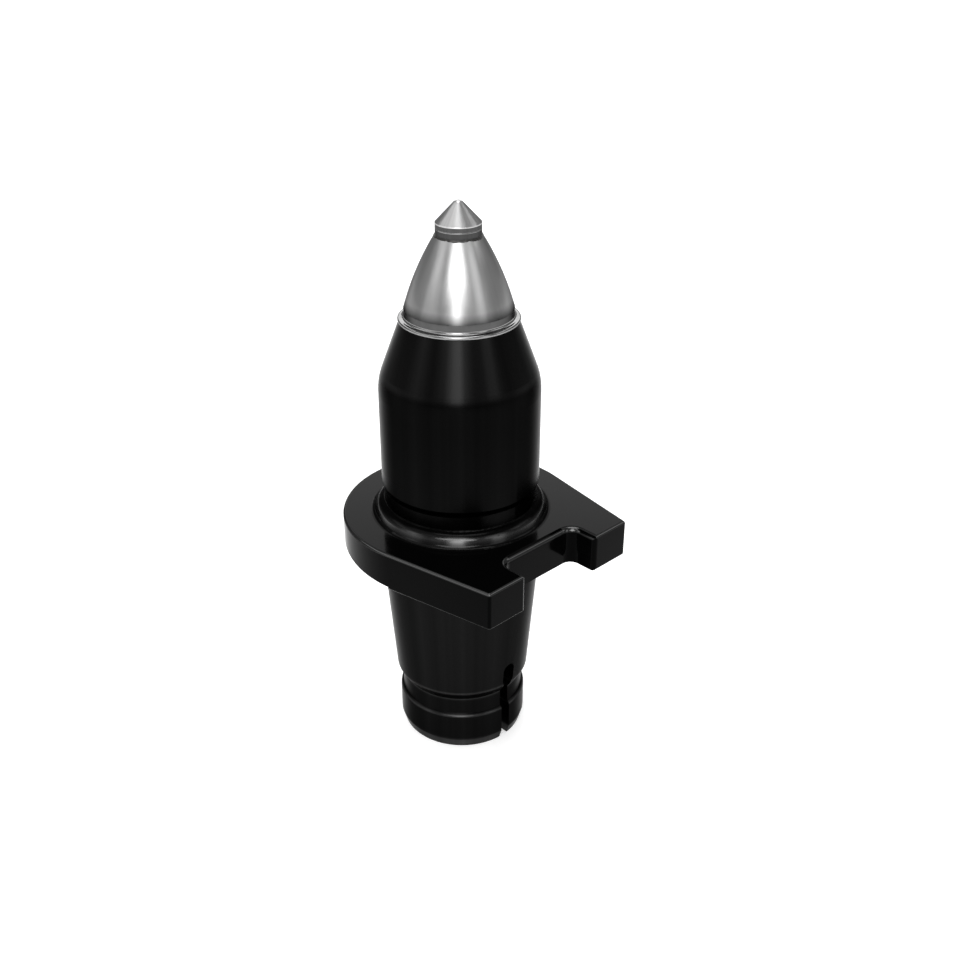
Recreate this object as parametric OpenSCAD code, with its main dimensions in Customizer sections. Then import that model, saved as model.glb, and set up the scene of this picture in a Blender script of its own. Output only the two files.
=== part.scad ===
// Conical cutting pick with a forked flange, a taper shank and a split snap-in collar.
// Lengths are in millimetres. The axis is Z, the fork points along +X, and z = 0 is
// the underside of the flange, where the pick seats on its block.

/* [Tip] */
// Diameter of the conical tip
tip_d = 14; // [10:0.5:16]
// Included angle of the tip's cone in degrees
tip_angle = 87; // [70:1:110]
// Radius of the rounded point
tip_point_r = 2; // [0.8:0.1:3]
// Height of the round band under the cone, on the cap
cap_band_h = 1.7; // [0.8:0.1:4]
// Height of the disc that carries the cap
tip_base_h = 1.8; // [1:0.1:6]
// Rounding of the edge between cone and band
tip_edge_r = 0.35; // [0.1:0.05:0.8]
// Bevel on each side of the line between cap and disc
tip_line_bevel = 0.15; // [0.05:0.05:0.4]
// Thickness of the brazed joint under the tip
tip_braze_h = 0.4; // [0.2:0.05:1]
// How far the braze stands out past the tip
tip_braze_lip = 0.12; // [0.05:0.01:0.3]

/* [Nose] */
// Diameter of the nose at its foot
nose_d = 33.8; // [30:0.2:36]
// Height of the nose above its seat
nose_h = 24.8; // [20:0.2:40]
// Width of the flat rim round the tip's seat
nose_rim_w = 0.3; // [0.1:0.05:1]
// Diameter where the two slopes of the nose would meet
nose_waist_d = 25.8; // [22:0.2:28]
// Drop from the top of the nose to that meeting
nose_waist_drop = 9.2; // [7:0.1:11]
// Height of the round foot of the nose
nose_foot_h = 2.8; // [1:0.1:5]
// Radius of the curve that joins the two slopes
nose_side_r = 88; // [20:1:90]
// Radius of the shoulder above the round foot
nose_shoulder_r = 14; // [2:0.5:16]
// Diameter of the locating stem under the nose
stem_d = 18; // [12:0.5:22]
// Length of the locating stem below the nose
stem_l = 16; // [8:0.5:24]
// Bevel at the end of the stem
stem_bevel = 1.5; // [0.5:0.1:3]

/* [Seat ring] */
// Outer diameter of the ring
ring_d = 37.6; // [37:0.1:40]
// Thickness of the ring
ring_t = 1.2; // [0.6:0.1:2]
// Radius of the fillet that rises against the nose
ring_fillet = 0.8; // [0.3:0.1:1]

/* [Head] */
// Diameter of the round head
head_d = 51; // [46:0.5:52]
// Diameter of the cone at its top
cone_top_d = 36.8; // [34:0.2:37]
// Height of the cone
cone_h = 19; // [12:0.5:30]
// Radius of the blend between cone and round head
cone_blend_r = 20; // [2:0.5:30]
// Height of the round head, from the groove to the cone
head_h = 34.4; // [20:0.2:60]
// Depth of the puller groove below the head
groove_depth = 0.6; // [0.4:0.1:3]
// Height of the slope from the head in to the groove
groove_slope_h = 1.8; // [1:0.1:4]
// Rounding of the head's lower edge
head_edge_r = 1.2; // [0.3:0.1:1.2]
// Radius of the concave curve at the top of the groove
groove_top_r = 1.2; // [0.3:0.1:2]
// Height of the puller groove above the raised ring
groove_h = 7.7; // [7:0.1:14]
// Diameter of the raised ring where its side meets the flange
collar_ring_d = 56.8; // [54:0.2:60]
// How far the side of the raised ring leans in towards its crest
collar_ring_lean = 1.4; // [0.8:0.1:2.4]
// Height of the raised ring
collar_ring_h = 3.4; // [2.6:0.1:5]
// Height of the raised ring's sloping top, from its crest up to the groove
flare_h = 1; // [0.8:0.1:4]
// Radius of the concave curve at the foot of the groove
flare_r = 0.5; // [0.3:0.1:1]
// Rounding of the raised ring
crest_r = 2.8; // [0.5:0.1:5]
// Fillet between the raised ring and the flange
foot_fillet = 1.6; // [0.3:0.1:2.4]

/* [Flange] */
// Diameter of the flange's round side
flange_d = 77.2; // [72:0.2:90]
// Thickness of the flange
flange_t = 12.5; // [9:0.5:20]
// Rounding of the flange's upper edges
flange_edge_r = 1; // [0.4:0.1:1.6]
// Rounding of the lower edge at the back of the round side
flange_lower_r = 6; // [2:0.1:8]
// How far off the axis that rounding is centred, so that it fades out towards the fork
flange_lower_shift = 2.5; // [1:0.1:4]
// Rounding of the fork's lower edges
fork_lower_r = 0.6; // [0.3:0.1:1]
// Distance from the axis to the end of the fork
fork_reach = 44.8; // [42:0.2:60]
// Width of the fork at its end
fork_w = 61.5; // [56:0.5:66]
// Rounding of the fork's upright corners
fork_corner_r = 1; // [0.4:0.1:2]
// Width of the notch in the fork
notch_w = 31.2; // [22:0.2:34]
// Depth of the notch in the fork
notch_depth = 10; // [7:0.2:11]
// Radius of the notch's inner corners
notch_corner_r = 3.4; // [2.2:0.1:5]
// Rounding of the notch's upper edge
notch_edge_r = 1.8; // [0.5:0.1:2]
// Rounding of the upright corners at the mouth of the notch
notch_mouth_r = 1.4; // [0.5:0.1:2]

/* [Shank] */
// Diameter of the taper at the flange
shank_top_d = 53.2; // [50:0.2:56]
// Diameter of the taper at its lower end
shank_low_d = 45.4; // [44:0.2:48]
// Length of the taper
taper_l = 48.3; // [35:0.5:70]
// Fillet between the flange and the taper
shank_root_r = 1.6; // [0.5:0.1:3]
// Diameter of the neck above the collar
neck_d = 41.6; // [39:0.2:42]
// Length of the slope from the taper down to the neck
neck_slope_l = 3.4; // [1.5:0.1:6]
// Length of the neck
neck_l = 6; // [3:0.1:10]
// Diameter of the snap-in collar
collar_d = 43.5; // [43:0.1:45]
// Length of the slope from the neck out to the collar
collar_slope_l = 0.9; // [0.8:0.1:3]
// Length of the collar's round part
collar_l = 9.9; // [6:0.1:14]
// Length of the lead-in bevel at the end
lead_l = 3.4; // [2:0.1:5]
// Width of the lead-in bevel across the radius
lead_w = 1; // [0.5:0.1:2]
// Fillet in the two inner corners of the neck
neck_fillet_r = 0.4; // [0.3:0.1:1.2]
// Rounding of the collar's upper edge
collar_edge_r = 1.2; // [0.5:0.1:2.4]
// Rounding of the collar's edges at and above the end face
end_edge_r = 0.3; // [0.1:0.1:0.5]
// Diameter of the blind hole in the end
end_bore_d = 26; // [20:0.5:30]
// Depth of the blind hole in the end
end_bore_l = 38; // [30:0.5:50]
// Width of the slot across the collar
slot_w = 3.6; // [2:0.1:5]
// Width of the keyhole above the slot
keyhole_w = 4.8; // [4:0.1:8]
// Height of the keyhole above the slot
keyhole_h = 9; // [7:0.5:14]
// Distance from the end of the shank to the keyhole's lower side
keyhole_end = 22.9; // [19:0.1:28]

/* [Fits] */
// Clearance round the stem, on each side
stem_clearance = 0.1; // [0.05:0.05:0.3]
// Clearance under the end of the stem
stem_end_gap = 1; // [0.5:0.1:2]
// Smoothness of round shapes
round_steps = 96; // [48:8:160]

/* [Hidden] */
$fn = round_steps;

// Overlap that carries a cut past the face it opens through
past = 1;

// Heights up the axis, from the underside of the flange
z_groove = flange_t + collar_ring_h;
z_shoulder = z_groove + groove_h;
z_cone = z_shoulder + head_h;
z_seat = z_cone + cone_h;
z_nose = z_seat + ring_t;
z_tip_seat = z_nose + nose_h;
z_tip_base = z_tip_seat + tip_braze_h;
z_cap = z_tip_base + tip_base_h;
z_rim = z_cap + cap_band_h;
z_taper_end = -taper_l;
z_neck = z_taper_end - neck_slope_l;
z_neck_end = z_neck - neck_l;
z_collar = z_neck_end - collar_slope_l;
z_lead = z_collar - collar_l;
z_end = z_lead - lead_l;

// The rounded point is a ball that the tip's cone touches
tip_r = tip_d / 2;
half_angle = tip_angle / 2;
point_touch_r = tip_point_r * cos(half_angle);
z_point_touch = z_rim + (tip_r - point_touch_r) / tan(half_angle);
z_point = z_point_touch - tip_point_r * sin(half_angle);

// The groove's wall, and the fork's straight sides, which touch the flange's round side
groove_r = head_d / 2 - groove_depth;
flange_r = flange_d / 2;
fork_half = fork_w / 2;
fork_diag = norm([fork_reach, fork_half]);
touch_angle = atan2(fork_half, fork_reach) + acos(flange_r / fork_diag);
touch = [flange_r * cos(touch_angle), flange_r * sin(touch_angle)];
side_angle = 90 - touch_angle;
side_l = norm([fork_reach - touch.x, fork_half - touch.y]);
notch_x = fork_reach - notch_depth;
keyhole_z = z_end + keyhole_end + keyhole_h / 2;

// Unit vector from one point to another
function toward(a, b) = (b - a) / norm(b - a);

// The web between a corner at p and the round of radius r that touches both of its
// sides, which run to a and b. It is cut from an outer corner and added to an inner one.
module corner_web(a, p, b, r) {
    to_a = toward(p, a);
    to_b = toward(p, b);
    half = acos(to_a * to_b) / 2;
    leg = r / tan(half);
    difference() {
        polygon([p + leg * to_a, p, p + leg * to_b]);
        translate(p + r / sin(half) * toward([0, 0], to_a + to_b)) circle(r);
    }
}

// The cutter for a straight rounded edge. The edge runs from the origin along +X, and
// the piece lies on its -Y and -Z sides.
module edge_cutter(l, r) {
    rotate([90, 0, 90]) linear_extrude(l) difference() {
        translate([-r, -r]) square(r + past);
        translate([-r, -r]) circle(r);
    }
}

// The cutter for the rounded edge of an inner corner of plan radius plan_r
module corner_edge_cutter(plan_r, r) {
    rotate_extrude(angle = 90) difference() {
        translate([plan_r - past, -r]) square([past + r, r + past]);
        translate([plan_r + r, -r]) circle(r);
    }
}

module diamond_cap() {
    bevel = tip_line_bevel;
    rim = [tip_r, z_rim];
    color("lightgray") rotate_extrude() difference() {
        union() {
            polygon([
                [0, z_cap], [tip_r - bevel, z_cap], [tip_r, z_cap + bevel], rim,
                [point_touch_r, z_point_touch], [0, z_point_touch]
            ]);
            intersection() {
                translate([0, z_point]) circle(tip_point_r);
                translate([0, z_rim]) square([tip_r, tip_r + tip_point_r]);
            }
        }
        corner_web([tip_r, z_cap + bevel], rim, [point_touch_r, z_point_touch], tip_edge_r);
    }
}

module tip_base() {
    bevel = tip_line_bevel;
    color("silver") rotate_extrude() polygon([
        [0, z_tip_base], [tip_r, z_tip_base], [tip_r, z_cap - bevel], [tip_r - bevel, z_cap], [0, z_cap]
    ]);
}

module tip_braze() {
    color("dimgray") translate([0, 0, z_tip_seat]) cylinder(h = tip_braze_h, r = tip_r + tip_braze_lip);
}

module nose_cone() {
    top = [tip_r + nose_rim_w, z_tip_seat];
    waist = [nose_waist_d / 2, z_tip_seat - nose_waist_drop];
    shoulder = [nose_d / 2, z_nose + nose_foot_h];
    foot = [nose_d / 2, z_nose];
    stem_r = stem_d / 2;
    color("silver") {
        rotate_extrude() difference() {
            polygon([[0, z_nose], foot, shoulder, waist, top, [0, z_tip_seat]]);
            corner_web(top, waist, shoulder, nose_side_r);
            corner_web(waist, shoulder, foot, nose_shoulder_r);
        }
        translate([0, 0, z_nose - stem_l]) cylinder(h = stem_bevel, r1 = stem_r - stem_bevel, r2 = stem_r);
        translate([0, 0, z_nose - stem_l + stem_bevel]) cylinder(h = stem_l - stem_bevel, r = stem_r);
    }
}

// The ledge outside the nose carries the fillet and the rim's round, and limits both
module seat_ring() {
    hole_r = stem_d / 2 + stem_clearance;
    nose_r = nose_d / 2;
    rim_r = ring_d / 2;
    ledge = rim_r - nose_r;
    fillet_r = min(ring_fillet, ledge / 2);
    rim_round = min(ring_t / 2, ledge - fillet_r);
    upper = [rim_r, z_nose];
    lower = [rim_r, z_seat];
    color("gainsboro") rotate_extrude() {
        difference() {
            translate([hole_r, z_seat]) square([rim_r - hole_r, ring_t]);
            corner_web([hole_r, z_nose], upper, lower, rim_round);
            corner_web(upper, lower, [hole_r, z_seat], rim_round);
        }
        corner_web([nose_r, z_nose + past], [nose_r, z_nose], upper, fillet_r);
    }
}

// Everything on the body that was turned about the axis
module turned_body() {
    seat = [cone_top_d / 2, z_seat];
    cone = [head_d / 2, z_cone];
    edge = [head_d / 2, z_shoulder];
    wall = [groove_r, z_shoulder - groove_slope_h];
    flare = [groove_r, z_groove + flare_h];
    crest = [collar_ring_d / 2 - collar_ring_lean, z_groove];
    foot = [collar_ring_d / 2, flange_t];
    root = [shank_top_d / 2, 0];
    taper = [shank_low_d / 2, z_taper_end];
    neck = [neck_d / 2, z_neck];
    neck_end = [neck_d / 2, z_neck_end];
    collar = [collar_d / 2, z_collar];
    lead = [collar_d / 2, z_lead];
    end = [collar_d / 2 - lead_w, z_end];
    rotate_extrude() difference() {
        union() {
            polygon([
                [0, z_seat], seat, cone, edge, wall, flare, crest, foot,
                root, taper, neck, neck_end, collar, lead, end, [0, z_end]
            ]);
            corner_web(edge, wall, flare, groove_top_r);
            corner_web(wall, flare, crest, flare_r);
            corner_web(crest, foot, foot + [past, 0], foot_fillet);
            corner_web(root + [past, 0], root, taper, shank_root_r);
            corner_web(taper, neck, neck_end, neck_fillet_r);
            corner_web(neck, neck_end, collar, neck_fillet_r);
        }
        corner_web(seat, cone, edge, cone_blend_r);
        corner_web(cone, edge, wall, head_edge_r);
        corner_web(flare, crest, foot, crest_r);
        corner_web(neck_end, collar, lead, collar_edge_r);
        corner_web(collar, lead, end, end_edge_r);
        corner_web(lead, end, [0, z_end], end_edge_r);
    }
}

// The flange before its notch is cut: a round side, and the fork between straight sides
module flange_blank() {
    difference() {
        rotate_extrude() difference() {
            square([flange_r, flange_t]);
            corner_web([0, flange_t], [flange_r, flange_t], [flange_r, 0], flange_edge_r);
        }
        back_edge_cutter();
    }
    difference() {
        linear_extrude(flange_t) polygon([
            [0, 0], [touch.x, -touch.y], [fork_reach, -fork_half], [fork_reach, fork_half], touch
        ]);
        fork_edges();
        translate([0, 0, flange_t]) mirror([0, 0, 1]) fork_lower_edges();
    }
}

// The cutter for the lower edge of the round side, deepest at the back
module back_edge_cutter() {
    reach = flange_r + flange_lower_shift;
    r = flange_lower_r;
    translate([flange_lower_shift, 0, 0]) rotate_extrude() difference() {
        translate([reach - r, -past]) square([r + past, r + past]);
        translate([reach - r, r]) circle(r);
        translate([reach - r - past, r]) square([past + r, 2 * past]);
    }
}

// Cutters along the fork's two sides and across its end, for an edge of radius r
module fork_outline_cutters(r) {
    for (side = [0, 1]) mirror([0, side, 0]) {
        translate([touch.x, touch.y, 0]) rotate([0, 0, -side_angle]) edge_cutter(side_l + past, r);
    }
    translate([fork_reach, fork_half + past, 0]) rotate([0, 0, -90]) edge_cutter(fork_w + 2 * past, r);
}

module fork_edges() {
    corner = [fork_reach, fork_half];
    translate([0, 0, flange_t]) fork_outline_cutters(flange_edge_r);
    for (side = [0, 1]) mirror([0, side, 0]) {
        translate([0, 0, -past]) linear_extrude(flange_t + 2 * past)
            corner_web(touch, corner, [fork_reach, 0], fork_corner_r);
    }
}

module fork_lower_edges() {
    translate([0, 0, flange_t]) fork_outline_cutters(fork_lower_r);
}

// The notch, with rounded inner corners and a rounded upper edge
module fork_notch() {
    half_w = notch_w / 2;
    r = notch_corner_r;
    inner = [notch_x, half_w];
    mouth = [fork_reach, half_w];
    corner = [fork_reach, fork_half];
    translate([0, 0, -past]) linear_extrude(flange_t + 2 * past) {
        difference() {
            translate([notch_x, -half_w]) square([notch_depth + past, notch_w]);
            for (side = [0, 1]) mirror([0, side]) corner_web(mouth, inner, [notch_x, 0], r);
        }
        for (side = [0, 1]) mirror([0, side]) corner_web(inner, mouth, corner, notch_mouth_r);
    }
    translate([0, 0, flange_t]) {
        translate([notch_x, -half_w + r, 0]) rotate([0, 0, 90]) edge_cutter(notch_w - 2 * r, notch_edge_r);
        for (side = [0, 1]) mirror([0, side, 0]) {
            translate([fork_reach + past, half_w, 0]) rotate([0, 0, 180])
                edge_cutter(notch_depth + past - r, notch_edge_r);
            translate([notch_x + r, half_w - r, 0]) rotate([0, 0, 90])
                corner_edge_cutter(r, notch_edge_r);
        }
    }
}

// The socket for the nose's stem
module stem_socket() {
    depth = stem_l - ring_t + stem_end_gap;
    translate([0, 0, z_seat - depth]) cylinder(h = depth + past, d = stem_d + 2 * stem_clearance);
}

// The blind hole, the slot and the keyholes that let the collar spring in
module split_end() {
    translate([0, 0, z_end - past]) cylinder(h = end_bore_l + past, d = end_bore_d);
    translate([-collar_d, -slot_w / 2, z_end - past]) cube([2 * collar_d, slot_w, keyhole_z - z_end + past]);
    for (end = [-1, 1]) translate([0, 0, keyhole_z + end * (keyhole_h - keyhole_w) / 2]) {
        rotate([0, 90, 0]) cylinder(h = 2 * collar_d, d = keyhole_w, center = true);
    }
    translate([-collar_d, -keyhole_w / 2, keyhole_z - (keyhole_h - keyhole_w) / 2])
        cube([2 * collar_d, keyhole_w, keyhole_h - keyhole_w]);
}

module pick_body() {
    color([0.05, 0.05, 0.055]) difference() {
        union() {
            turned_body();
            difference() {
                flange_blank();
                fork_notch();
            }
        }
        stem_socket();
        split_end();
    }
}

diamond_cap();
tip_base();
tip_braze();
nose_cone();
seat_ring();
pick_body();
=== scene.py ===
"""Looks of the conical cutting pick: polished nose and tip on a gloss black body, in a pale studio."""

import math

import bmesh
import bpy
from mathutils import Euler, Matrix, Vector, noise


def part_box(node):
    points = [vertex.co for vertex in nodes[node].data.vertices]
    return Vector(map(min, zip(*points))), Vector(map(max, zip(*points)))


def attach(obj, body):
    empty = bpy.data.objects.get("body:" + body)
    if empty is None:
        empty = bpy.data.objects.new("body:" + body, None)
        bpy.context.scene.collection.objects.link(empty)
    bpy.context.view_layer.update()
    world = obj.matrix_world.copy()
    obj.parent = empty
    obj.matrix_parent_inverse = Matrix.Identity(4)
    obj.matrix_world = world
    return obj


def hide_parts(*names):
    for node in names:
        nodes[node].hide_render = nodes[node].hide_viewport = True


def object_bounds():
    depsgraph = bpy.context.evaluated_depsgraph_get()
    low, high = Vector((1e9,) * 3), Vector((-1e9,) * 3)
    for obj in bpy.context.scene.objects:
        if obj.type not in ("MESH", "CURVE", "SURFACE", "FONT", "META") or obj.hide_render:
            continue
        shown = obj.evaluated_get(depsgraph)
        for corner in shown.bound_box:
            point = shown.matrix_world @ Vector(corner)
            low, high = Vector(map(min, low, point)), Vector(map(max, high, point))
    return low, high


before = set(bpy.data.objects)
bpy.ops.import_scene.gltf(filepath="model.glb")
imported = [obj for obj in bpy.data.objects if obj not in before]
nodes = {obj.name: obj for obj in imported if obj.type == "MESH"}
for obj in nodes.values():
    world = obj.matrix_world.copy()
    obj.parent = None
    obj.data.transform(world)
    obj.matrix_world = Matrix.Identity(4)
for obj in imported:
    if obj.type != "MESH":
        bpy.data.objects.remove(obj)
cad_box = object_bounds()

MM = 0.001


# Heights and radii that the looks take from the frame

def top_of(name):
    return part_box(name)[1].z


def foot_of(name):
    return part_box(name)[0].z


def radius_of(name):
    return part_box(name)[1].y


# Shader helpers

def new_material(name):
    """A material with an empty node tree, its tree and its shader."""
    material = bpy.data.materials.new(name)
    material.use_nodes = True
    tree = material.node_tree
    tree.nodes.clear()
    shader = tree.nodes.new("ShaderNodeBsdfPrincipled")
    output = tree.nodes.new("ShaderNodeOutputMaterial")
    tree.links.new(shader.outputs["BSDF"], output.inputs["Surface"])
    return material, tree, shader


def add_node(tree, kind, **values):
    """A node, with its properties and its input sockets set by name."""
    node = tree.nodes.new(kind)
    for key, value in values.items():
        if hasattr(node, key):
            setattr(node, key, value)
        else:
            node.inputs[key.replace("_", " ")].default_value = value
    return node


def object_coords(tree, scale):
    """The object's own coordinates in metres, stretched by scale."""
    coords = add_node(tree, "ShaderNodeTexCoord")
    mapping = add_node(tree, "ShaderNodeMapping")
    mapping.inputs["Scale"].default_value = scale
    tree.links.new(coords.outputs["Object"], mapping.inputs["Vector"])
    return mapping.outputs["Vector"]


def ring_coords(tree):
    """Distance from the axis and height, so that a pattern runs round the turned form."""
    coords = add_node(tree, "ShaderNodeTexCoord")
    split = add_node(tree, "ShaderNodeSeparateXYZ")
    tree.links.new(coords.outputs["Object"], split.inputs["Vector"])
    across = add_node(tree, "ShaderNodeCombineXYZ")
    tree.links.new(split.outputs["X"], across.inputs["X"])
    tree.links.new(split.outputs["Y"], across.inputs["Y"])
    length = add_node(tree, "ShaderNodeVectorMath", operation="LENGTH")
    tree.links.new(across.outputs["Vector"], length.inputs[0])
    joined = add_node(tree, "ShaderNodeCombineXYZ")
    tree.links.new(length.outputs["Value"], joined.inputs["X"])
    tree.links.new(split.outputs["Z"], joined.inputs["Z"])
    return joined.outputs["Vector"]


def noise_on(tree, vector, scale, detail=2.0, roughness=0.5):
    texture = add_node(tree, "ShaderNodeTexNoise", Scale=scale, Detail=detail, Roughness=roughness)
    tree.links.new(vector, texture.inputs["Vector"])
    return texture.outputs["Fac"]


def spread(tree, value, low, high):
    """A 0 to 1 pattern taken to the range low to high."""
    node = add_node(tree, "ShaderNodeMapRange")
    node.inputs["From Min"].default_value = 0.25
    node.inputs["From Max"].default_value = 0.75
    node.inputs["To Min"].default_value = low
    node.inputs["To Max"].default_value = high
    tree.links.new(value, node.inputs["Value"])
    return node.outputs["Result"]


def tint(tree, value, dark, light):
    """A colour between dark and light, both grey levels with a hue."""
    node = add_node(tree, "ShaderNodeMix", data_type="RGBA")
    node.inputs["A"].default_value = (*dark, 1)
    node.inputs["B"].default_value = (*light, 1)
    tree.links.new(value, node.inputs["Factor"])
    return node.outputs["Result"]


def bump(tree, shader, *layers):
    """Bump layers of (height pattern, depth in metres), one on the other."""
    normal = None
    for height, depth in layers:
        node = add_node(tree, "ShaderNodeBump", Strength=1.0, Distance=depth)
        tree.links.new(height, node.inputs["Height"])
        if normal is not None:
            tree.links.new(normal, node.inputs["Normal"])
        normal = node.outputs["Normal"]
    tree.links.new(normal, shader.inputs["Normal"])


# Materials

def by_height(tree, stops):
    """A level that changes up the axis. stops are pairs of a height in mm and the level there."""
    low, high = stops[0][0], stops[-1][0]
    coords = add_node(tree, "ShaderNodeTexCoord")
    split = add_node(tree, "ShaderNodeSeparateXYZ")
    tree.links.new(coords.outputs["Object"], split.inputs["Vector"])
    part = add_node(tree, "ShaderNodeMapRange")
    part.inputs["From Min"].default_value = low * MM
    part.inputs["From Max"].default_value = high * MM
    tree.links.new(split.outputs["Z"], part.inputs["Value"])
    ramp = add_node(tree, "ShaderNodeValToRGB")
    elements = ramp.color_ramp.elements
    elements[0].color = (*[stops[0][1]] * 3, 1)
    elements[1].color = (*[stops[-1][1]] * 3, 1)
    for height, level in stops[1:-1]:
        elements.new((height - low) / (high - low)).color = (level, level, level, 1)
    tree.links.new(part.outputs["Result"], ramp.inputs["Fac"])
    return ramp.outputs["Color"]


def spoke_noise(tree, scale):
    """A pattern that changes round the axis and stays the same along it."""
    coords = add_node(tree, "ShaderNodeTexCoord")
    flat = add_node(tree, "ShaderNodeVectorMath", operation="MULTIPLY")
    flat.inputs[1].default_value = (1, 1, 0)
    tree.links.new(coords.outputs["Object"], flat.inputs[0])
    unit = add_node(tree, "ShaderNodeVectorMath", operation="NORMALIZE")
    tree.links.new(flat.outputs["Vector"], unit.inputs[0])
    return noise_on(tree, unit.outputs["Vector"], scale, detail=3.0)


def edge_highlight_mask(tree):
    """1 on rounded edges between a level face and an upright one, and 0 on both faces. It places the
    painted highlight along the flange's edges.
    """
    coords = add_node(tree, "ShaderNodeTexCoord")
    split = add_node(tree, "ShaderNodeSeparateXYZ")
    tree.links.new(coords.outputs["Normal"], split.inputs["Vector"])
    square = add_node(tree, "ShaderNodeMath", operation="MULTIPLY")
    tree.links.new(split.outputs["Z"], square.inputs[0])
    tree.links.new(split.outputs["Z"], square.inputs[1])
    rest = add_node(tree, "ShaderNodeMath", operation="SUBTRACT")
    rest.inputs[0].default_value = 1.0
    tree.links.new(square.outputs["Value"], rest.inputs[1])
    both = add_node(tree, "ShaderNodeMath", operation="MULTIPLY")
    tree.links.new(square.outputs["Value"], both.inputs[0])
    tree.links.new(rest.outputs["Value"], both.inputs[1])
    mask = add_node(tree, "ShaderNodeMapRange")
    mask.inputs["From Min"].default_value = 0.02
    mask.inputs["From Max"].default_value = 0.2
    tree.links.new(both.outputs["Value"], mask.inputs["Value"])
    return mask.outputs["Result"]


def larger(tree, a, b):
    node = add_node(tree, "ShaderNodeMath", operation="MAXIMUM")
    tree.links.new(a, node.inputs[0])
    tree.links.new(b, node.inputs[1])
    return node.outputs["Value"]


def mixed(tree, factor, a, b, kind="RGBA"):
    """a where factor is 0 and b where it is 1. Each is a socket, or a plain value."""
    node = add_node(tree, "ShaderNodeMix", data_type=kind)
    tree.links.new(factor, node.inputs["Factor"])
    for name, value in (("A", a), ("B", b)):
        if isinstance(value, bpy.types.NodeSocket):
            tree.links.new(value, node.inputs[name])
        else:
            node.inputs[name].default_value = value
    return node.outputs["Result"]


def scaled(tree, colour, value):
    """A colour times a value."""
    node = add_node(tree, "ShaderNodeVectorMath", operation="SCALE")
    tree.links.new(colour, node.inputs["Vector"])
    tree.links.new(value, node.inputs["Scale"])
    return node.outputs["Vector"]


def polished_metal(name, levels, rough, spokes, contrast, edge_tint):
    """Bright metal with a level by height, soft streaks along it and a fine finish round the axis. The
    callers' levels paint shade as dark bands and highlights as thin bright bands.
    """
    material, tree, shader = new_material(name)
    shader.inputs["Metallic"].default_value = 1.0
    shader.inputs["Specular Tint"].default_value = (edge_tint, edge_tint, edge_tint, 1)
    streaks = spread(tree, spoke_noise(tree, spokes), 1 - contrast, 1 + contrast)
    fine = noise_on(tree, ring_coords(tree), 5000, detail=3.0)
    soft = noise_on(tree, object_coords(tree, (1, 1, 1)), 160, detail=2.0)
    tree.links.new(scaled(tree, by_height(tree, levels), streaks), shader.inputs["Base Color"])
    tree.links.new(spread(tree, soft, *rough), shader.inputs["Roughness"])
    bump(tree, shader, (fine, 0.001 * MM))
    return material


def black_coat(name):
    """Black coat on steel: soft on the turned forms, and glossy on the forged flange. Its level up the
    axis holds painted highlight lines and painted shade, and the flange's rounded edges carry a painted
    highlight.
    """
    material, tree, shader = new_material(name)
    shader.inputs["IOR"].default_value = COAT_IOR
    shader.inputs["Specular Tint"].default_value = (*[COAT_EDGE_TINT] * 3, 1)
    soft = noise_on(tree, object_coords(tree, (1, 1, 1)), 60, detail=3.0)
    grain = noise_on(tree, object_coords(tree, (1, 1, 1)), 900, detail=4.0)
    turned = add_node(tree, "ShaderNodeMapRange")
    turned.inputs["From Min"].default_value = FLANGE_FROM * MM
    turned.inputs["From Max"].default_value = TURNED_TO * MM
    split = add_node(tree, "ShaderNodeSeparateXYZ")
    tree.links.new(ring_coords(tree), split.inputs["Vector"])
    tree.links.new(split.outputs["X"], turned.inputs["Value"])
    turned = turned.outputs["Result"]
    edges = edge_highlight_mask(tree)
    streaks = spread(tree, spoke_noise(tree, COAT_SPOKES), 0.75, 1.25)
    # This level holds painted highlight lines, a painted highlight on the bead's crest, and painted
    # light and shade between the cone and the head.
    level = scaled(tree, by_height(tree, COAT_TONE_AND_PAINTED_LIGHT), streaks)
    # On the flange the rounded edges take a lighter metallic colour, a painted highlight along them.
    flange = mixed(tree, edges, (*FLANGE_COLOUR, 1), (*FLANGE_EDGE_HIGHLIGHT, 1))
    tree.links.new(mixed(tree, turned, flange, level), shader.inputs["Base Color"])
    tree.links.new(larger(tree, turned, edges), shader.inputs["Metallic"])
    fine = spread(tree, grain, *FLANGE_ROUGH)
    rough = mixed(tree, turned, fine, by_height(tree, COAT_ROUGHNESS), "FLOAT")
    tree.links.new(rough, shader.inputs["Roughness"])
    bump(tree, shader, (soft, 0.02 * MM), (grain, 0.002 * MM))
    return material


def braze_metal(name):
    """Dull grey braze with a coarse cast skin."""
    material, tree, shader = new_material(name)
    shader.inputs["Metallic"].default_value = 1.0
    coarse = noise_on(tree, object_coords(tree, (1, 1, 1)), 900, detail=4.0)
    tree.links.new(
        tint(tree, spread(tree, coarse, 0, 1), (0.02, 0.02, 0.02), (0.09, 0.088, 0.085)),
        shader.inputs["Base Color"],
    )
    tree.links.new(spread(tree, coarse, 0.35, 0.6), shader.inputs["Roughness"])
    bump(tree, shader, (coarse, 0.15 * MM))
    return material


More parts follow.
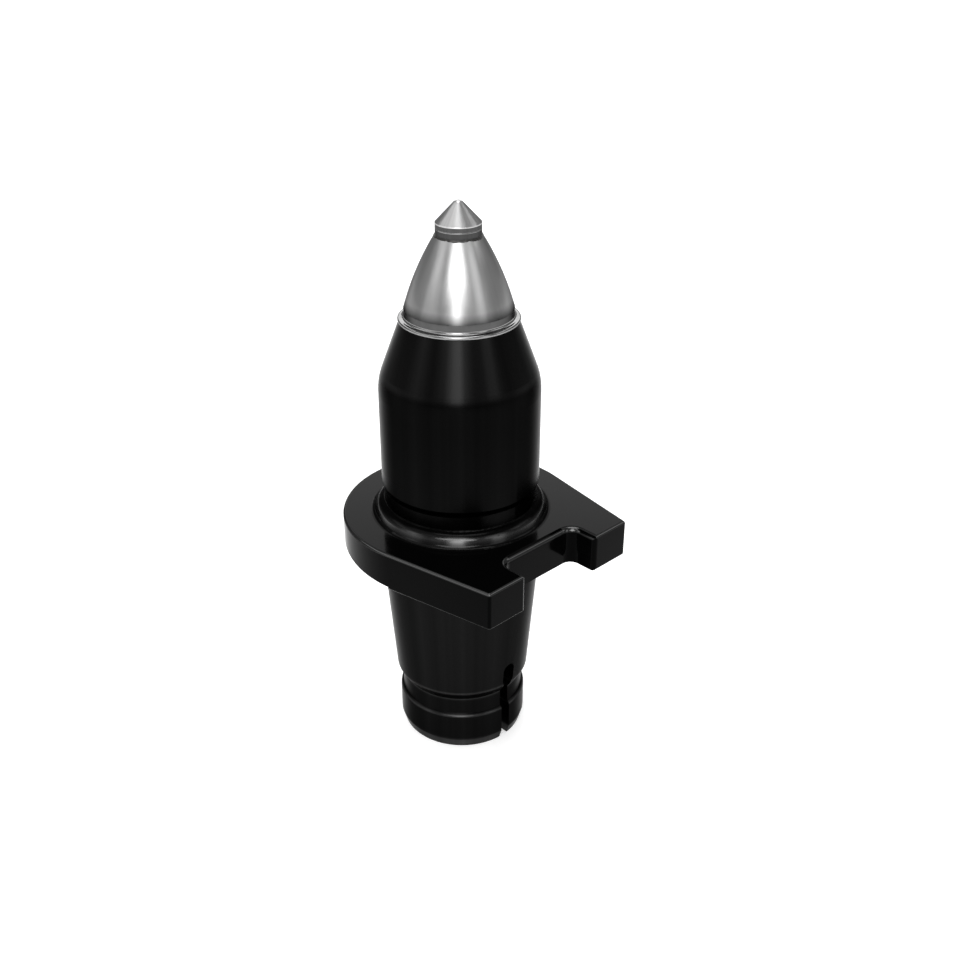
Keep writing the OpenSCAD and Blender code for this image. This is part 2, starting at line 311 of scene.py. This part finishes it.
def braze_bead(material):
    """The uneven bead of braze that shows round the foot of the tip, on the nose's rim and slope."""
    seat = foot_of("tip_braze")
    wall = radius_of("tip_base")
    rings = []
    for i in range(BEAD_STEPS):
        angle = 2 * math.pi * i / BEAD_STEPS
        around = Vector((math.cos(angle), math.sin(angle), 0))
        low = noise.noise(around * 2.6 + Vector((3, 1, 7)))
        fine = noise.noise(around * 11 + Vector((5, 2, 1)))
        drop = (0.2 + 0.3 * low + 0.12 * fine) * MM
        drop = min(max(drop, 0.05 * MM), 0.9 * MM)
        rise = (0.42 + 0.10 * fine) * MM
        rim = wall + 0.3 * MM
        profile = [
            (wall - 0.05 * MM, seat + rise),
            (wall + 0.08 * MM, seat + rise - 0.02 * MM),
            (wall + 0.22 * MM, seat + 0.22 * MM),
            (rim + 0.10 * MM, seat + 0.04 * MM),
            (rim + 0.09 * MM + 0.5 * drop * NOSE_SLOPE, seat - 0.5 * drop),
            (rim + 0.03 * MM + drop * NOSE_SLOPE, seat - drop),
            (rim - 0.12 * MM + drop * NOSE_SLOPE, seat - drop),
            (wall - 0.05 * MM, seat + 0.05 * MM),
        ]
        rings.append([around * r + Vector((0, 0, z)) for r, z in profile])
    mesh = bpy.data.meshes.new("braze_bead")
    build = bmesh.new()
    grid = [[build.verts.new(point) for point in ring] for ring in rings]
    count = len(grid[0])
    for i in range(BEAD_STEPS):
        here, there = grid[i], grid[(i + 1) % BEAD_STEPS]
        for j in range(count):
            k = (j + 1) % count
            build.faces.new((here[j], here[k], there[k], there[j])).smooth = True
    bmesh.ops.recalc_face_normals(build, faces=build.faces)
    build.to_mesh(mesh)
    build.free()
    bead = bpy.data.objects.new("braze_bead", mesh)
    bpy.context.scene.collection.objects.link(bead)
    mesh.materials.append(material)
    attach(bead, "root")
    return bead


def fork_side(y):
    """The fork's side that y is on, in plan: its sign, where its straight edge starts, the edge's
    outward normal and direction, and the centre of the round on its upright corner."""
    side = 1 if y >= 0 else -1
    start = Vector((FORK_START.x, FORK_START.y * side))
    normal = Vector((FORK_NORMAL.x, FORK_NORMAL.y * side))
    along = Vector((FORK_NORMAL.y, -FORK_NORMAL.x * side))
    centre = Vector((CORNER_CENTRE.x, CORNER_CENTRE.y * side))
    return side, start, normal, along, centre


def near_fork(co):
    return co.x > FORK_START.x - MM and -TINY < co.z < FLANGE_TOP + TINY


def depth_inside(co):
    """How far a point lies inside the fork's straight outline, in plan."""
    side, start, normal, along, centre = fork_side(co.y)
    return min((start - co.xy).dot(normal), FORK_REACH - co.x)


def fork_zone(point, inset):
    """The centre in plan that a point near the fork's outline is rounded about, or None.
    inset is how far the centre lies inside the outline."""
    side, start, normal, along, centre = fork_side(point.y)
    here = point.xy
    from_corner = here - centre
    beyond_side = from_corner.dot(along) > 0
    beyond_end = from_corner.y * side > 0
    if beyond_side and beyond_end and from_corner.length > 0:
        return centre + from_corner.normalized() * (FORK_CORNER_R - inset)
    depth = (start - here).dot(normal)
    if not beyond_side and depth < inset + TINY and (here - start).dot(along) > -TINY:
        return here + normal * (depth - inset)
    if not beyond_end and FORK_REACH - here.x < inset + TINY and abs(here.y) < CORNER_CENTRE.y + TINY:
        return Vector((FORK_REACH - inset, here.y))
    return None


def onto_arc(point, centre, radius):
    """The point moved straight onto the arc with the arc's normal there, or None where it is inside."""
    out = point - centre
    if out.length < radius + TINY:
        return None
    normal = out.normalized()
    return centre + normal * radius, normal


def cut_lines(build, origin, normal, offsets, wanted):
    """Cuts the faces that have a wanted corner by planes at offsets along normal from origin."""
    for offset in offsets:
        faces = [f for f in build.faces if any(wanted(v.co) for v in f.verts)]
        edges = list({e for f in faces for e in f.edges})
        verts = list({v for f in faces for v in f.verts})
        place = origin + normal * offset
        bmesh.ops.bisect_plane(
            build, geom=faces + edges + verts, dist=CUT_SNAP, plane_co=place, plane_no=normal)


def cut_fork(build):
    """Cuts the fork's faces along its outer edges, so that the rounds have rows of vertices."""
    inward = [-FORK_EDGE_R * s for s in ARC_CUTS] + [-FORK_LOWER_R * s for s in ARC_CUTS]
    reach = CUT_REACH * FORK_EDGE_R
    turn = math.atan2(FORK_NORMAL.y, FORK_NORMAL.x)
    for sign in (1, -1):
        side, start, normal, along, centre = fork_side(sign)

        def near_side(co):
            return near_fork(co) and co.y * side > 0 and (start - co.xy).dot(normal) < reach

        def near_corner(co):
            beyond = co.x > centre.x - TINY and co.y * side > CORNER_CENTRE.y - TINY
            return beyond and near_fork(co)

        cut_lines(build, start.to_3d(), normal.to_3d(), inward, near_side)
        for k in range(ARC_STEPS + 1):
            angle = turn * k / ARC_STEPS * side
            ray = Vector((-math.sin(angle), math.cos(angle), 0))
            cut_lines(build, centre.to_3d(), ray, [0], near_corner)

    def near_end(co):
        return near_fork(co) and co.x > FORK_REACH - reach

    def near_wall(co):
        return near_fork(co) and depth_inside(co) < reach

    cut_lines(build, Vector((FORK_REACH, 0, 0)), AHEAD, inward, near_end)
    cut_lines(build, UP * FLANGE_TOP, UP, [-FORK_EDGE_R * s for s in ARC_CUTS], near_wall)
    cut_lines(build, Vector(), UP, [FORK_LOWER_R * s for s in ARC_CUTS], near_wall)


def round_fork(build):
    """Moves the fork's outer edges onto their rounds. Gives the normals of the moved vertices."""
    normals = {}
    for vert in build.verts:
        co = vert.co
        if not near_fork(co):
            continue
        side, start, normal, along, centre = fork_side(co.y)
        out = co.xy - centre
        if out.dot(along) > 0 and out.y * side > 0:
            moved = onto_arc(co.xy, centre, FORK_CORNER_R)
            if moved and TINY < co.z < FLANGE_TOP - TINY:
                normals[vert] = moved[1].to_3d()
            if moved:
                vert.co = co = Vector((*moved[0], co.z))
        for radius, level, sign in ((FORK_EDGE_R, FLANGE_TOP, 1), (FORK_LOWER_R, 0.0, -1)):
            if (level - co.z) * sign > radius:
                continue
            centre = fork_zone(co, radius)
            if centre is None:
                continue
            moved = onto_arc(co, Vector((*centre, level - sign * radius)), radius)
            if moved:
                vert.co, normals[vert] = moved
    return normals


def round_notch_back(build):
    """Moves the square step of the notch's upper back edge onto a round. Gives the vertices' normals."""
    foot = FLANGE_TOP - NOTCH_EDGE_R
    normals = {}
    for vert in build.verts:
        x, y, z = vert.co
        if abs(y) > NOTCH_BACK_HALF + TINY:
            continue
        if abs(x - NOTCH_STEP) < TINY and abs(z - FLANGE_TOP) < TINY:
            vert.co.x = NOTCH_BACK - NOTCH_EDGE_R
            normals[vert] = UP
        elif abs(x - NOTCH_STEP) < TINY and abs(z - foot) < TINY:
            vert.co.x = NOTCH_BACK - NOTCH_EDGE_R + NOTCH_EDGE_R * SLANT.x
            vert.co.z = foot + NOTCH_EDGE_R * SLANT.z
            normals[vert] = SLANT
        elif abs(x - NOTCH_BACK) < TINY and abs(z - foot) < TINY:
            normals[vert] = AHEAD
    return normals


def close_mesh(build):
    """Welds the mesh, takes out slivers above the shank and fills what they leave open."""
    bmesh.ops.triangulate(build, faces=build.faces)
    bmesh.ops.remove_doubles(build, verts=build.verts, dist=WELD)
    upper = [e for e in build.edges if min(v.co.z for v in e.verts) > -MM]
    bmesh.ops.dissolve_degenerate(build, edges=upper, dist=WELD)
    bmesh.ops.holes_fill(build, edges=[e for e in build.edges if e.is_boundary], sides=4)
    bmesh.ops.triangulate(build, faces=build.faces)
    for face in build.faces:
        face.smooth = True


def finished_body(material):
    """The body with the fork's outer edges and the notch's back edge rounded, as part.scad means them.
    Everything else keeps the shape and the normals of pick_body."""
    source = nodes["pick_body"].data
    build = bmesh.new()
    build.from_mesh(source)
    kept = build.loops.layers.float_vector.new("kept")
    for face, polygon in zip(build.faces, source.polygons):
        for k, loop in enumerate(face.loops):
            loop[kept] = source.corner_normals[polygon.loop_start + k].vector
    bmesh.ops.remove_doubles(build, verts=build.verts, dist=WELD)

    cut_fork(build)
    rounded = round_fork(build)
    back = round_notch_back(build)
    for face in build.faces:
        step = all(v in back for v in face.verts)
        for loop in face.loops:
            if loop.vert in rounded:
                loop[kept] = rounded[loop.vert]
            elif step or back.get(loop.vert) is SLANT:
                loop[kept] = back[loop.vert]
    close_mesh(build)

    split = [loop[kept].normalized() for face in build.faces for loop in face.loops]
    mesh = bpy.data.meshes.new("pick_body_finish")
    build.to_mesh(mesh)
    build.free()
    mesh.attributes.remove(mesh.attributes["kept"])
    mesh.normals_split_custom_set(split)
    mesh.materials.clear()
    mesh.materials.append(material)
    body = bpy.data.objects.new("pick_body_finish", mesh)
    bpy.context.scene.collection.objects.link(body)
    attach(body, "root")
    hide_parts("pick_body")
    return body


def dress(name, material):
    nodes[name].data.materials.clear()
    nodes[name].data.materials.append(material)


# The finished body. Lengths are those of part.scad.
UP = Vector((0, 0, 1))
AHEAD = Vector((1, 0, 0))
SLANT = (AHEAD + UP).normalized()
TINY = 0.002 * MM
CUT_SNAP = TINY * 0.1
CUT_REACH = 1.2
WELD = 0.0005 * MM
FLANGE_TOP = 12.5 * MM
FORK_REACH = 44.8 * MM
FORK_START = Vector((7.2, 37.9)) * MM
FORK_CORNER = Vector((44.8, 30.75)) * MM
FORK_NORMAL = Vector((FORK_START.y - FORK_CORNER.y, FORK_CORNER.x - FORK_START.x)).normalized()
FORK_EDGE_R = 1.0 * MM
FORK_LOWER_R = 0.6 * MM
FORK_CORNER_R = 1.0 * MM
CORNER_CENTRE = Vector((
    FORK_CORNER.x - FORK_CORNER_R,
    FORK_CORNER.y + FORK_CORNER_R * (FORK_NORMAL.x - 1) / FORK_NORMAL.y,
))
ARC_STEPS = 5
ARC_CUTS = (1.0, 0.801, 0.586, 0.332)
NOTCH_BACK = 34.8 * MM
NOTCH_STEP = NOTCH_BACK - MM
NOTCH_BACK_HALF = 12.2 * MM
NOTCH_EDGE_R = 1.8 * MM

# The bead of braze, and the materials' levels. Heights are in mm.
BEAD_STEPS = 240
TIP_BAND = 1.7
NOSE_SLOPE = 0.61
COAT_IOR = 1.1
COAT_EDGE_TINT = 0.5
TURNED_TO = 28.9
FLANGE_FROM = 29.6
FLANGE_COLOUR = (0.0008, 0.0008, 0.0008)
# Colour of the painted highlight on the flange's rounded edges.
FLANGE_EDGE_HIGHLIGHT = (0.06, 0.06, 0.06)
FLANGE_ROUGH = (0.10, 0.14)
COAT_SPOKES = 5
# Coat tone up the axis, as pairs of a height and a level. The narrow bright bands near -58.6, -51.6 and
# -48.3 are painted highlight lines on the shank's edges. The bright band from about 14 to 15.6 is a
# painted highlight on the bead's crest. The cone is lighter than the head's upright wall as painted
# light and shade. The end bevel below -68.5 is lighter.
COAT_TONE_AND_PAINTED_LIGHT = [
    (-72.0, 0.04), (-68.7, 0.035), (-68.4, 0.0045), (-59.0, 0.0045), (-58.8, 0.035), (-58.3, 0.035),
    (-58.1, 0.0045), (-52.1, 0.0045), (-51.9, 0.035), (-51.4, 0.035), (-51.2, 0.006), (-48.8, 0.006),
    (-48.6, 0.03), (-48.1, 0.03), (-47.8, 0.007), (0.0, 0.007), (12.6, 0.004), (14.0, 0.03),
    (14.8, 0.07), (15.2, 0.05), (15.6, 0.01), (16.2, 0.005), (17.0, 0.004), (24.0, 0.0035),
    (50.0, 0.0027), (59.0, 0.0027), (60.5, 0.010), (78.0, 0.010),
]
COAT_ROUGHNESS = [
    (-72.0, 0.3), (0.0, 0.3), (12.0, 0.2), (16.6, 0.2), (17.0, 0.26), (50.0, 0.3), (60.0, 0.27),
    (78.0, 0.27),
]

z_foot, z_top = foot_of("nose_cone") / MM, top_of("nose_cone") / MM
z_ring = top_of("seat_ring") / MM
z_cap = foot_of("diamond_cap") / MM
z_rim = z_cap + TIP_BAND
z_point = top_of("diamond_cap") / MM
# nose_metal is painted dark from its foot to about 2 mm above the seat ring. This is painted shade,
# standing for a dark reflection on that upright band.
nose_metal = polished_metal(
    "nose_metal",
    [(z_foot, 0.075), (z_ring + 2.2, 0.085), (z_ring + 5.0, 0.34), (z_top, 0.4)],
    rough=(0.28, 0.34), spokes=3, contrast=0.12, edge_tint=0.2)
# In tip_metal the cap's upright band is painted dark as painted shade. The thin bright bands at the
# cap's foot and at the cone's rim are painted highlights.
tip_metal = polished_metal(
    "tip_metal",
    [(z_cap, 0.4), (z_cap + 0.12, 0.4), (z_cap + 0.2, 0.065), (z_rim - 0.3, 0.065), (z_rim - 0.2, 0.6),
     (z_rim + 0.02, 0.6), (z_rim + 0.2, 0.38), (z_point, 0.42)],
    rough=(0.26, 0.34), spokes=7, contrast=0.22, edge_tint=0.5)
# In base_metal the upright band is painted dark as painted shade. A thin bright band at its top, where
# it meets the cap, is a painted highlight.
base_metal = polished_metal(
    "base_metal",
    [(z_top, 0.05), (z_cap - 0.25, 0.05), (z_cap - 0.12, 0.35), (z_cap, 0.35)],
    rough=(0.26, 0.34), spokes=7, contrast=0.15, edge_tint=0.4)
ring_metal = polished_metal(
    "ring_metal", [(z_foot, 0.24), (z_rim, 0.24)],
    rough=(0.14, 0.2), spokes=6, contrast=0.08, edge_tint=0.5)

dress("nose_cone", nose_metal)
dress("diamond_cap", tip_metal)
dress("tip_base", base_metal)
dress("seat_ring", ring_metal)
coat = black_coat("black_coat")
dress("pick_body", coat)
finished_body(coat)
braze = braze_metal("braze_metal")
dress("tip_braze", braze)
braze_bead(braze)


# Studio

CAMERA_SPOT = (0.24329, -0.22700, 0.19948)
CAMERA_TURN = (math.radians(61.87), 0, math.radians(45.9))
CAMERA_LENS = 43.456
CAMERA_AZIMUTH = 45.9
LIGHT_DISTANCE = 8.0
AIM = Vector((0, 0, 0.03))
FLOOR_DROP = 0.2 * MM
FLOOR_HALF = 12.0
FLOOR_GREY = 0.85
FLOOR_LIFT = 0.35
WORLD_STRENGTH = 0.32


def studio_floor():
    """A wide pale floor just under the end of the shank, lifted to white for eye and reflection."""
    mesh = bpy.data.meshes.new("studio_floor")
    z = cad_box[0].z - FLOOR_DROP
    corners = [(FLOOR_HALF * x, FLOOR_HALF * y, z) for x, y in ((-1, -1), (1, -1), (1, 1), (-1, 1))]
    mesh.from_pydata(corners, [], [(0, 1, 2, 3)])
    floor = bpy.data.objects.new("studio_floor", mesh)
    bpy.context.scene.collection.objects.link(floor)
    material, tree, shader = new_material("studio_floor")
    shader.inputs["Base Color"].default_value = (FLOOR_GREY, FLOOR_GREY, FLOOR_GREY, 1)
    shader.inputs["Roughness"].default_value = 1.0
    shader.inputs["Specular IOR Level"].default_value = 0.0
    shader.inputs["Emission Color"].default_value = (1, 1, 1, 1)
    tree.links.new(lit_for_eye(tree, FLOOR_LIFT), shader.inputs["Emission Strength"])
    mesh.materials.append(material)
    return floor


def lit_for_eye(tree, strength):
    """A strength that only camera, glossy and transmission rays meet."""
    path = add_node(tree, "ShaderNodeLightPath")
    first = add_node(tree, "ShaderNodeMath", operation="MAXIMUM")
    both = add_node(tree, "ShaderNodeMath", operation="MAXIMUM")
    level = add_node(tree, "ShaderNodeMath", operation="MULTIPLY")
    tree.links.new(path.outputs["Is Camera Ray"], first.inputs[0])
    tree.links.new(path.outputs["Is Glossy Ray"], first.inputs[1])
    tree.links.new(first.outputs["Value"], both.inputs[0])
    tree.links.new(path.outputs["Is Transmission Ray"], both.inputs[1])
    tree.links.new(both.outputs["Value"], level.inputs[0])
    level.inputs[1].default_value = strength
    return level.outputs["Value"]


def studio_world():
    """Soft light all round."""
    world = bpy.data.worlds.new("studio")
    world.use_nodes = True
    tree = world.node_tree
    tree.nodes.clear()
    soft = add_node(tree, "ShaderNodeBackground", Color=(1, 1, 1, 1), Strength=WORLD_STRENGTH)
    output = add_node(tree, "ShaderNodeOutputWorld")
    tree.links.new(soft.outputs["Background"], output.inputs["Surface"])
    bpy.context.scene.world = world


def soft_box(name, side, elevation, wide, tall, radiance):
    """An area light that faces the pick. side is the angle to the right of the camera, and
    wide and tall are half angles as the pick sees the light, all in degrees."""
    a, e = math.radians(CAMERA_AZIMUTH + side), math.radians(elevation)
    away = Vector((math.sin(a) * math.cos(e), -math.cos(a) * math.cos(e), math.sin(e)))
    data = bpy.data.lights.new(name, "AREA")
    data.shape = "RECTANGLE"
    data.size = 2 * LIGHT_DISTANCE * math.tan(math.radians(wide))
    data.size_y = 2 * LIGHT_DISTANCE * math.tan(math.radians(tall))
    data.energy = radiance * math.pi * data.size * data.size_y
    light = bpy.data.objects.new(name, data)
    light.location = AIM + away * LIGHT_DISTANCE
    light.rotation_mode = "QUATERNION"
    light.rotation_quaternion = away.to_track_quat("Z", "Y")
    light.visible_camera = False
    bpy.context.scene.collection.objects.link(light)
    return light


studio_floor()
studio_world()
soft_box("front_high", -4, 33, 22, 6, 6)
soft_box("front_peak", -4, 43, 12, 5, 6)
soft_box("front_low", -4, 15.5, 8.5, 11.5, 5)
soft_box("right_strip", 50, 26, 9, 18, 1.5)
soft_box("left_strip", -67, 28, 8, 12, 1.0)
soft_box("left_side", -100, 38, 14, 8, 1.6)
soft_box("right_side", 98, 38, 14, 8, 1.6)
soft_box("left_box", -66, 12, 16, 22, 0.5)
soft_box("tip_light", -8, 61, 9, 10, 3.2)
soft_box("tip_left", -75, 58, 20, 12, 0.9)
soft_box("back_box", 180, 30, 26, 15, 3)
soft_box("top_box", 180, 82, 16, 16, 4.5)

camera_data = bpy.data.cameras.new("camera")
camera_data.lens = CAMERA_LENS
camera_data.sensor_width = 36.0
camera_data.clip_start = 0.01
camera_data.clip_end = 100.0
camera = bpy.data.objects.new("camera", camera_data)
camera.location = CAMERA_SPOT
camera.rotation_euler = Euler(CAMERA_TURN)
bpy.context.scene.collection.objects.link(camera)
bpy.context.scene.camera = camera

bpy.context.scene.view_settings.view_transform = "Standard"
